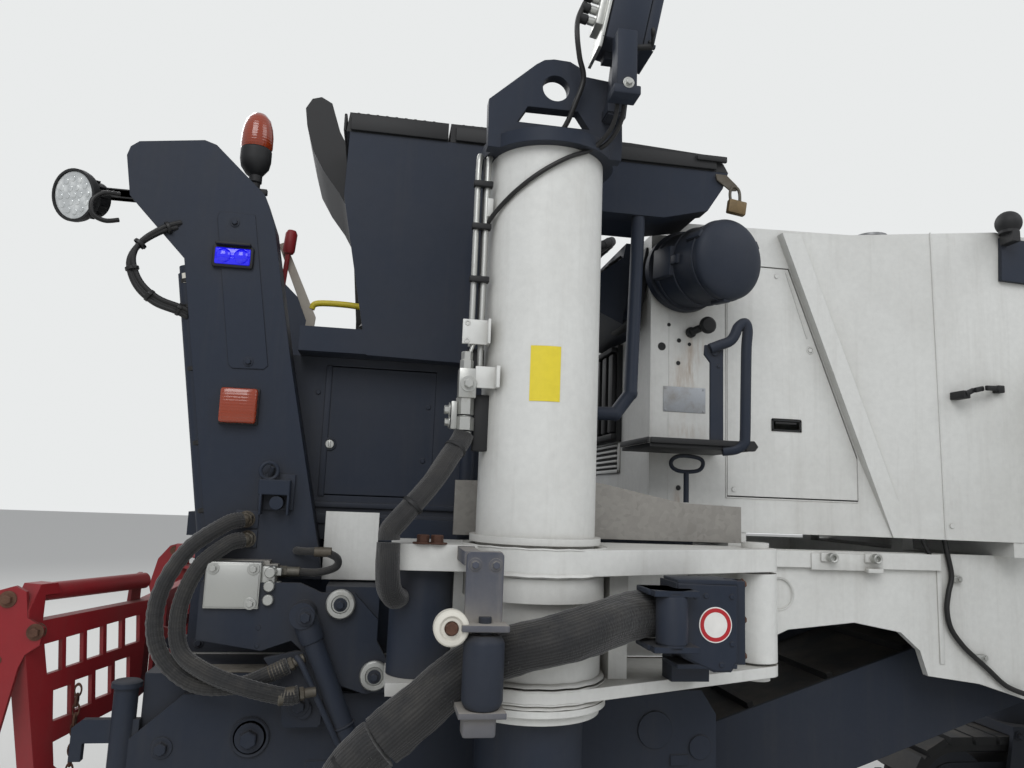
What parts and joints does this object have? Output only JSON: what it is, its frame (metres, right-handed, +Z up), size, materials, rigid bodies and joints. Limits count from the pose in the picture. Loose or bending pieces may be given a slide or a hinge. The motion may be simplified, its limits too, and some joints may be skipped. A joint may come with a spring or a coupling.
{
  "type": "cold planer milling machine",
  "caption": "Front-loading road milling machine on four tracked lifting legs, with an open deck and a long slewing discharge conveyor.",
  "frame": {"origin": "ground level under the middle of the bounding box", "axes": "+X forward, the way the conveyor points; +Y to the left; +Z up"},
  "size_m": [11.1834, 2.4112, 3.5579],
  "materials": {
    "frame_white": "satin enamel, dusty",
    "dark_enamel": "satin enamel",
    "black_plastic": "matt",
    "hose_black": "textile wrapped",
    "rubber": "worn rubber",
    "worn_steel": "worn",
    "galvanised": "mottled zinc",
    "amber": "clear coloured",
    "blue": "clear coloured",
    "guard_red": "satin enamel"
  },
  "bodies": {
    "machine": {"main_frame": "frame_white", "drum_housing": "dark_enamel", "front_legs": "frame_white", "rear_leg_left": "frame_white", "engine_block": "worn_steel", "hood_shell": "frame_white", "hood_trim": "dark_enamel", "exhaust_stack": "worn_steel", "side_tanks": "frame_white", "deck": "dark_enamel", "bulkhead": "frame_white", "storage_box": "black_plastic", "control_console": "dark_enamel", "seat": "black_plastic", "hand_rails": "dark_enamel", "rear_posts": "dark_enamel", "side_cabinet": "dark_enamel", "boarding_ladder": "dark_enamel", "filter_canister": "dark_enamel", "side_step": "dark_enamel", "splash_plate": "galvanised", "work_lamps": "black_plastic", "amber_lamps": "amber", "blue_lamp": "blue", "gather_conveyor": "dark_enamel", "gather_belt": "rubber", "linkage": "dark_enamel", "valve_blocks": "galvanised", "rear_hoses": "hose_black", "rear_left_chain": "rubber", "rear_left_carriage": "dark_enamel"},
    "drum": {"milling_drum": "worn_steel"},
    "right_edge_plate": {"edge_plate_right": "dark_enamel"},
    "left_edge_plate": {"edge_plate_left": "dark_enamel"},
    "scraper": {"scraper_door": "dark_enamel"},
    "guard": {"rear_guard": "guard_red"},
    "hood_side_door": {"hood_door": "frame_white"},
    "cabinet_lid": {"cabinet_door": "dark_enamel"},
    "console_cover": {"console_lid": "black_plastic"},
    "hand_wheel": {"steering_wheel": "black_plastic"},
    "front_left_track": {"front_left_chain": "rubber", "front_left_carriage": "dark_enamel"},
    "front_right_track": {"front_right_chain": "rubber", "front_right_carriage": "dark_enamel"},
    "swing_arm": {"swing_leg": "frame_white", "arm_fittings": "dark_enamel", "arm_hoses": "hose_black"},
    "rear_right_leg": {"rear_leg_right": "frame_white", "leg_head": "dark_enamel", "leg_fittings": "worn_steel", "leg_hoses": "hose_black", "rear_right_chain": "rubber", "rear_right_carriage": "dark_enamel"},
    "slewing_base": {"slew_head": "dark_enamel"},
    "boom": {"boom_frame": "frame_white", "boom_cap": "dark_enamel", "boom_belt": "rubber", "boom_rollers": "worn_steel"},
    "lift_barrel": {"lift_barrels": "dark_enamel"},
    "lift_rod": {"lift_rods": "worn_steel"}
  },
  "joints": [
    {"name": "drum_spin", "type": "hinge", "parent": "machine", "child": "drum", "pos_m": [-4.59517, 0, 0.64], "axis": [0, 1, 0], "continuous": true},
    {"name": "right_edge_lift", "type": "slide", "parent": "machine", "child": "right_edge_plate", "axis": [0, 0, 1], "range_m": [0, 0.17]},
    {"name": "left_edge_lift", "type": "slide", "parent": "machine", "child": "left_edge_plate", "axis": [0, 0, 1], "range_m": [0, 0.17]},
    {"name": "scraper_lift", "type": "slide", "parent": "machine", "child": "scraper", "axis": [0, 0, 1], "range_m": [0, 0.2]},
    {"name": "guard_tilt", "type": "hinge", "parent": "machine", "child": "guard", "pos_m": [-5.24317, 0, 1.142], "axis": [0, 1, 0], "range_deg": [-25, 8]},
    {"name": "hood_door_open", "type": "hinge", "parent": "machine", "child": "hood_side_door", "pos_m": [-3.59857, -0.44, 1.9], "axis": [0, 0, 1], "range_deg": [-70, 0]},
    {"name": "cabinet_open", "type": "hinge", "parent": "machine", "child": "cabinet_lid", "pos_m": [-4.53377, -0.5947, 1.76], "axis": [0, 0, 1], "range_deg": [0, 100]},
    {"name": "console_open", "type": "hinge", "parent": "machine", "child": "console_cover", "pos_m": [-4.53817, -0.555, 2.634], "axis": [0, -1, 0], "range_deg": [0, 75]},
    {"name": "wheel_turn", "type": "hinge", "parent": "machine", "child": "hand_wheel", "pos_m": [-4.03217, -0.12, 2.414], "axis": [-0.6176, 0, 0.7865], "range_deg": [-90, 90]},
    {"name": "left_steer", "type": "hinge", "parent": "machine", "child": "front_left_track", "pos_m": [-1.49517, 0.85, 0.6], "axis": [0, 0, 1], "range_deg": [-18, 18]},
    {"name": "right_steer", "type": "hinge", "parent": "machine", "child": "front_right_track", "pos_m": [-1.49517, -0.85, 0.6], "axis": [0, 0, 1], "range_deg": [-18, 18]},
    {"name": "arm_swing", "type": "hinge", "parent": "machine", "child": "swing_arm", "pos_m": [-3.68417, -0.79, 1.33], "axis": [0, 0, 1], "range_deg": [0, 170]},
    {"name": "leg_parallel", "type": "hinge", "parent": "swing_arm", "child": "rear_right_leg", "pos_m": [-4.30517, -0.92, 1.33], "axis": [0, 0, 1], "range_deg": [-170, 0]},
    {"name": "boom_slew", "type": "hinge", "parent": "machine", "child": "slewing_base", "pos_m": [-1.03517, 0, 0.88], "axis": [0, 0, 1], "range_deg": [-34, 34]},
    {"name": "boom_lift", "type": "hinge", "parent": "slewing_base", "child": "boom", "pos_m": [-1.03517, 0, 1.15], "axis": [0, -1, 0], "range_deg": [-8, 5]},
    {"name": "barrel_swing", "type": "hinge", "parent": "slewing_base", "child": "lift_barrel", "pos_m": [-0.74517, 0, 0.85], "axis": [0, -1, 0], "range_deg": [-9.2, 5.8]},
    {"name": "rod_travel", "type": "slide", "parent": "lift_barrel", "child": "lift_rod", "axis": [0.8899, 0, 0.4561], "range_m": [-0.06, 0.04]}
  ],
  "couplings": [
    {"joint": "left_steer", "follows": "wheel_turn", "ratio": 0.2},
    {"joint": "right_steer", "follows": "wheel_turn", "ratio": 0.2},
    {"joint": "leg_parallel", "follows": "arm_swing", "ratio": -1},
    {"joint": "barrel_swing", "follows": "boom_lift", "ratio": 1.1433},
    {"joint": "rod_travel", "follows": "boom_lift", "m_per_rad": 0.39335}
  ]
}
